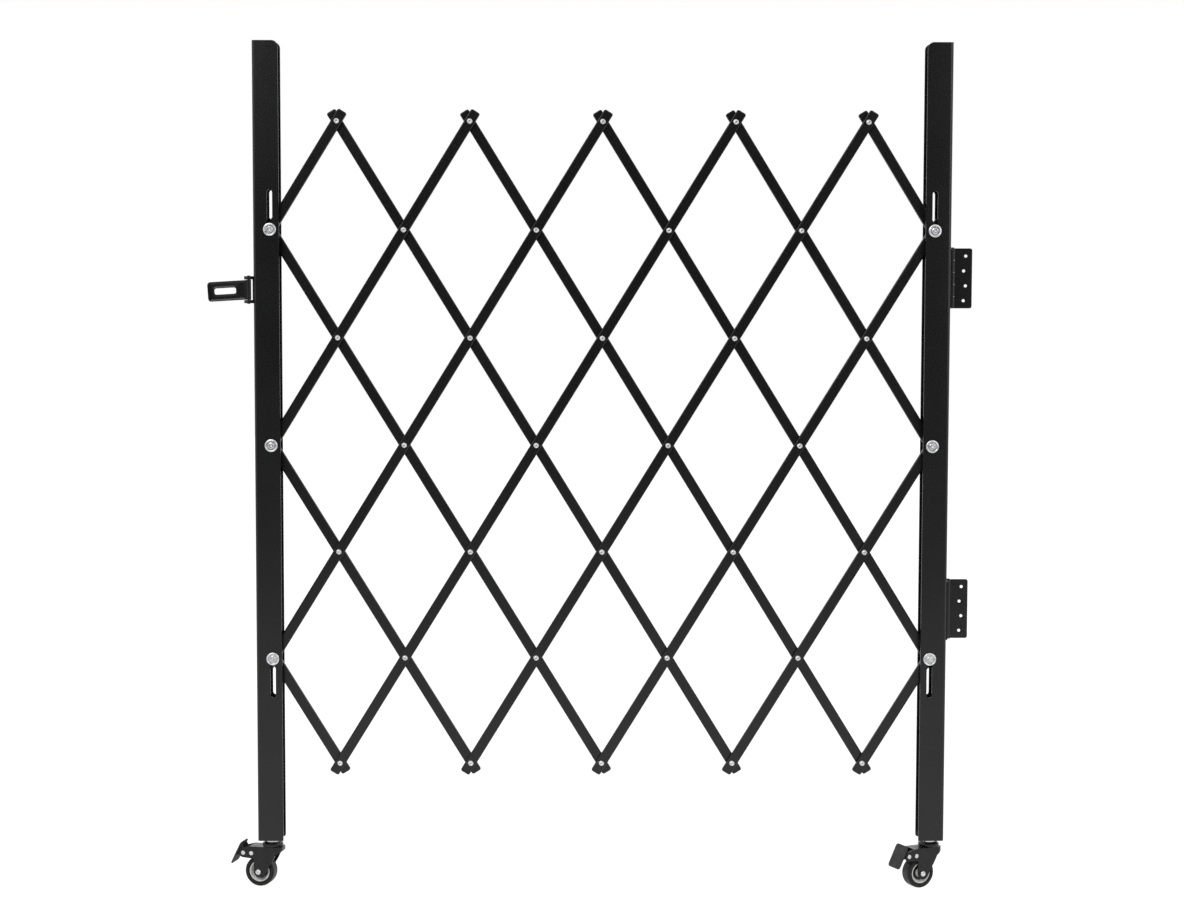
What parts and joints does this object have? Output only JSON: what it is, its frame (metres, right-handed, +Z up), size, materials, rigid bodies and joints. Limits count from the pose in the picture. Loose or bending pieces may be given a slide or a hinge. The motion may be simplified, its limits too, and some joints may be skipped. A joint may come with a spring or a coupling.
{
  "type": "expandable safety barrier",
  "caption": "Folding scissor-lattice barrier between two channel posts, with wall hinges, a slotted hasp and braked casters.",
  "frame": {"origin": "centre of the lower wall leaf's back face", "axes": "+Z up, +Y away from the viewer into the wall, +X from the latch post to the hinge post"},
  "size_m": [1.2968, 0.0783, 1.4419],
  "materials": {
    "black_powder_coat": "satin powder coat",
    "bright_zinc": "bright zinc plate",
    "black_zinc": "black zinc plate",
    "black_rubber": "moulded rubber",
    "grey_nylon": "moulded nylon"
  },
  "bodies": {
    "wall_leaves": {"upper_hinge_wall_leaf": "black_powder_coat", "lower_hinge_wall_leaf": "black_powder_coat", "upper_hinge_pin": "black_zinc", "lower_hinge_pin": "black_zinc"},
    "hinge_post": {"hinge_post": "black_powder_coat", "upper_hinge_post_leaf": "black_powder_coat", "lower_hinge_post_leaf": "black_powder_coat", "pivot_bolt_hinge_middle": "bright_zinc", "pivot_nut_hinge_middle": "bright_zinc", "hinge_caster_king_bolt": "bright_zinc", "hinge_caster_race": "black_zinc"},
    "latch_post": {"latch_post": "black_powder_coat", "hasp_bracket": "black_powder_coat", "hasp_pin": "black_zinc", "pivot_bolt_latch_middle": "bright_zinc", "pivot_nut_latch_middle": "bright_zinc", "latch_caster_king_bolt": "bright_zinc", "latch_caster_race": "black_zinc"},
    "hasp_strap": {"hasp_strap": "black_powder_coat"},
    "rising_bar_1": {"rising_bar_1": "black_powder_coat"},
    "falling_bar_1": {"falling_bar_1": "black_powder_coat"},
    "rising_bar_2": {"rising_bar_2": "black_powder_coat"},
    "falling_bar_2": {"falling_bar_2": "black_powder_coat"},
    "rising_bar_3": {"rising_bar_3": "black_powder_coat", "pivot_bolt_latch_bottom": "bright_zinc", "pivot_nut_latch_bottom": "bright_zinc"},
    "falling_bar_3": {"falling_bar_3": "black_powder_coat", "pivot_bolt_latch_top": "bright_zinc", "pivot_nut_latch_top": "bright_zinc"},
    "rising_bar_4": {"rising_bar_4": "black_powder_coat"},
    "falling_bar_4": {"falling_bar_4": "black_powder_coat"},
    "rising_bar_5": {"rising_bar_5": "black_powder_coat"},
    "falling_bar_5": {"falling_bar_5": "black_powder_coat"},
    "rising_bar_6": {"rising_bar_6": "black_powder_coat", "pivot_bolt_hinge_top": "bright_zinc", "pivot_nut_hinge_top": "bright_zinc"},
    "falling_bar_6": {"falling_bar_6": "black_powder_coat", "pivot_bolt_hinge_bottom": "bright_zinc", "pivot_nut_hinge_bottom": "bright_zinc"},
    "rising_bar_7": {"rising_bar_7": "black_powder_coat"},
    "falling_bar_7": {"falling_bar_7": "black_powder_coat"},
    "rising_bar_8": {"rising_bar_8": "black_powder_coat"},
    "falling_bar_8": {"falling_bar_8": "black_powder_coat"},
    "latch_caster_fork": {"latch_caster_fork": "black_zinc", "latch_caster_axle_bolt": "bright_zinc", "latch_caster_axle_nut": "bright_zinc", "latch_caster_pedal_pin": "bright_zinc", "latch_caster_anchor_pin": "bright_zinc"},
    "latch_caster_wheel": {"latch_caster_wheel": "grey_nylon", "latch_caster_tyre": "black_rubber"},
    "latch_caster_pedal": {"latch_caster_brake_pedal": "black_zinc"},
    "hinge_caster_fork": {"hinge_caster_fork": "black_zinc", "hinge_caster_axle_bolt": "bright_zinc", "hinge_caster_axle_nut": "bright_zinc", "hinge_caster_pedal_pin": "bright_zinc", "hinge_caster_anchor_pin": "bright_zinc"},
    "hinge_caster_wheel": {"hinge_caster_wheel": "grey_nylon", "hinge_caster_tyre": "black_rubber"},
    "hinge_caster_pedal": {"hinge_caster_brake_pedal": "black_zinc"}
  },
  "joints": [
    {"name": "gate_swing", "type": "hinge", "parent": "wall_leaves", "child": "hinge_post", "pos_m": [-0.0202, -0.0055, 0], "axis": [0, 0, 1], "range_deg": [-90, 90]},
    {"name": "lattice_fold", "type": "hinge", "parent": "hinge_post", "child": "falling_bar_7", "pos_m": [-0.0543, -0.018, 0.282], "axis": [0, 1, 0], "range_deg": [0, 28]},
    {"name": "rising_bar_7_turn", "type": "hinge", "parent": "hinge_post", "child": "rising_bar_7", "pos_m": [-0.0543, -0.018, 0.282], "axis": [0, 1, 0], "range_deg": [-28, 0]},
    {"name": "rising_bar_4_turn", "type": "hinge", "parent": "falling_bar_7", "child": "rising_bar_4", "pos_m": [-0.3907, -0.018, 0.82881], "axis": [0, 1, 0], "range_deg": [-56, 0]},
    {"name": "rising_bar_5_turn", "type": "hinge", "parent": "falling_bar_7", "child": "rising_bar_5", "pos_m": [-0.27857, -0.018, 0.64654], "axis": [0, 1, 0], "range_deg": [-56, 0]},
    {"name": "rising_bar_6_turn", "type": "hinge", "parent": "falling_bar_7", "child": "rising_bar_6", "pos_m": [-0.16643, -0.018, 0.46427], "axis": [0, 1, 0], "range_deg": [-56, 0]},
    {"name": "falling_bar_1_turn", "type": "hinge", "parent": "rising_bar_4", "child": "falling_bar_1", "pos_m": [-1.0635, -0.018, -0.26481], "axis": [0, 1, 0], "range_deg": [0, 56]},
    {"name": "falling_bar_2_turn", "type": "hinge", "parent": "rising_bar_4", "child": "falling_bar_2", "pos_m": [-0.95136, -0.018, -0.08254], "axis": [0, 1, 0], "range_deg": [0, 56]},
    {"name": "falling_bar_3_turn", "type": "hinge", "parent": "rising_bar_4", "child": "falling_bar_3", "pos_m": [-0.83923, -0.018, 0.09973], "axis": [0, 1, 0], "range_deg": [0, 56]},
    {"name": "falling_bar_4_turn", "type": "hinge", "parent": "rising_bar_4", "child": "falling_bar_4", "pos_m": [-0.7271, -0.018, 0.282], "axis": [0, 1, 0], "range_deg": [0, 56]},
    {"name": "falling_bar_5_turn", "type": "hinge", "parent": "rising_bar_4", "child": "falling_bar_5", "pos_m": [-0.61496, -0.018, 0.46427], "axis": [0, 1, 0], "range_deg": [0, 56]},
    {"name": "falling_bar_6_turn", "type": "hinge", "parent": "rising_bar_4", "child": "falling_bar_6", "pos_m": [-0.50283, -0.018, 0.64654], "axis": [0, 1, 0], "range_deg": [0, 56]},
    {"name": "latch_post_turn", "type": "hinge", "parent": "falling_bar_2", "child": "latch_post", "pos_m": [-1.17563, -0.018, 0.282], "axis": [0, 1, 0], "range_deg": [-28, 0]},
    {"name": "rising_bar_2_turn", "type": "hinge", "parent": "latch_post", "child": "rising_bar_2", "pos_m": [-1.17563, -0.018, 0.282], "axis": [0, 1, 0], "range_deg": [-28, 0]},
    {"name": "rising_bar_3_turn", "type": "hinge", "parent": "falling_bar_3", "child": "rising_bar_3", "pos_m": [-0.95136, -0.018, 0.282], "axis": [0, 1, 0], "range_deg": [-56, 0]},
    {"name": "rising_bar_1_turn", "type": "hinge", "parent": "falling_bar_4", "child": "rising_bar_1", "pos_m": [-1.0635, -0.018, 0.82881], "axis": [0, 1, 0], "range_deg": [-56, 0]},
    {"name": "rising_bar_8_turn", "type": "hinge", "parent": "falling_bar_5", "child": "rising_bar_8", "pos_m": [-0.16643, -0.018, -0.26481], "axis": [0, 1, 0], "range_deg": [-56, 0]},
    {"name": "falling_bar_8_turn", "type": "hinge", "parent": "rising_bar_5", "child": "falling_bar_8", "pos_m": [-0.16643, -0.018, 0.82881], "axis": [0, 1, 0], "range_deg": [0, 56]},
    {"name": "hasp_swing", "type": "hinge", "parent": "latch_post", "child": "hasp_strap", "pos_m": [-1.21213, -0.032, 0.5452], "axis": [0, 0, 1], "range_deg": [-90, 90]},
    {"name": "latch_caster_swivel", "type": "hinge", "parent": "latch_post", "child": "latch_caster_fork", "pos_m": [-1.18043, -0.018, -0.398], "axis": [0, 0, 1], "continuous": true},
    {"name": "latch_wheel_spin", "type": "hinge", "parent": "latch_caster_fork", "child": "latch_caster_wheel", "pos_m": [-1.20104, -0.01305, -0.4539], "axis": [-0.2334, -0.9724, 0], "continuous": true},
    {"name": "latch_brake_pedal_press", "type": "hinge", "parent": "latch_caster_fork", "child": "latch_caster_pedal", "pos_m": [-1.22788, -0.00661, -0.4218], "axis": [-0.2334, -0.9724, 0], "range_deg": [0, 20]},
    {"name": "hinge_caster_swivel", "type": "hinge", "parent": "hinge_post", "child": "hinge_caster_fork", "pos_m": [-0.0495, -0.018, -0.398], "axis": [0, 0, 1], "continuous": true},
    {"name": "hinge_wheel_spin", "type": "hinge", "parent": "hinge_caster_fork", "child": "hinge_caster_wheel", "pos_m": [-0.06871, -0.02696, -0.4539], "axis": [0.4226, -0.9063, 0], "continuous": true},
    {"name": "hinge_brake_pedal_press", "type": "hinge", "parent": "hinge_caster_fork", "child": "hinge_caster_pedal", "pos_m": [-0.09373, -0.03862, -0.4218], "axis": [0.4226, -0.9063, 0], "range_deg": [0, 20]}
  ],
  "couplings": [
    {"joint": "rising_bar_7_turn", "follows": "lattice_fold", "ratio": -1},
    {"joint": "rising_bar_4_turn", "follows": "lattice_fold", "ratio": -2},
    {"joint": "rising_bar_5_turn", "follows": "lattice_fold", "ratio": -2},
    {"joint": "rising_bar_6_turn", "follows": "lattice_fold", "ratio": -2},
    {"joint": "falling_bar_1_turn", "follows": "lattice_fold", "ratio": 2},
    {"joint": "falling_bar_2_turn", "follows": "lattice_fold", "ratio": 2},
    {"joint": "falling_bar_3_turn", "follows": "lattice_fold", "ratio": 2},
    {"joint": "falling_bar_4_turn", "follows": "lattice_fold", "ratio": 2},
    {"joint": "falling_bar_5_turn", "follows": "lattice_fold", "ratio": 2},
    {"joint": "falling_bar_6_turn", "follows": "lattice_fold", "ratio": 2},
    {"joint": "latch_post_turn", "follows": "lattice_fold", "ratio": -1},
    {"joint": "rising_bar_2_turn", "follows": "lattice_fold", "ratio": -1},
    {"joint": "rising_bar_3_turn", "follows": "lattice_fold", "ratio": -2},
    {"joint": "rising_bar_1_turn", "follows": "lattice_fold", "ratio": -2},
    {"joint": "rising_bar_8_turn", "follows": "lattice_fold", "ratio": -2},
    {"joint": "falling_bar_8_turn", "follows": "lattice_fold", "ratio": 2}
  ]
}
